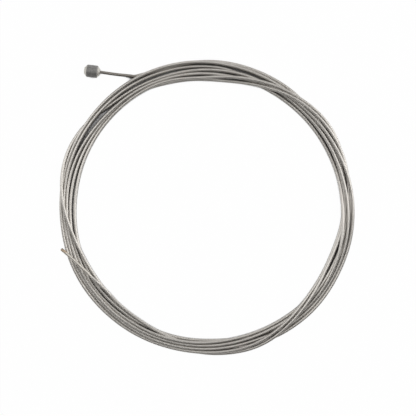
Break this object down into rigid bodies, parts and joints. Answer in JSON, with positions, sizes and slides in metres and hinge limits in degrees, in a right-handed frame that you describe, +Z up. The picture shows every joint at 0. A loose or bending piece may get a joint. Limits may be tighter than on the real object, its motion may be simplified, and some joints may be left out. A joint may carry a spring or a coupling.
{
  "type": "shift cable",
  "caption": "Stranded stainless inner wire for a gear shifter, wound in a flat ring, with a die-cast barrel head at its start and a bare fused end.",
  "frame": {"origin": "middle of the ring of turns, on the surface that it lies on", "axes": "+Z is up, along the ring's axis; +X is the right and +Y the top of the picture"},
  "size_m": [0.1072, 0.1072, 0.0044],
  "materials": {
    "stainless_strand": "bright drawn stainless wires laid in a rope, with dark grooves between them",
    "zinc_casting": "dull grey die-cast zinc alloy with softly worn edges"
  },
  "bodies": {
    "root": {"wire_coil": "stainless_strand", "wire_lead": "stainless_strand", "wire_tail": "stainless_strand", "cable_head": "zinc_casting"}
  },
  "joints": []
}
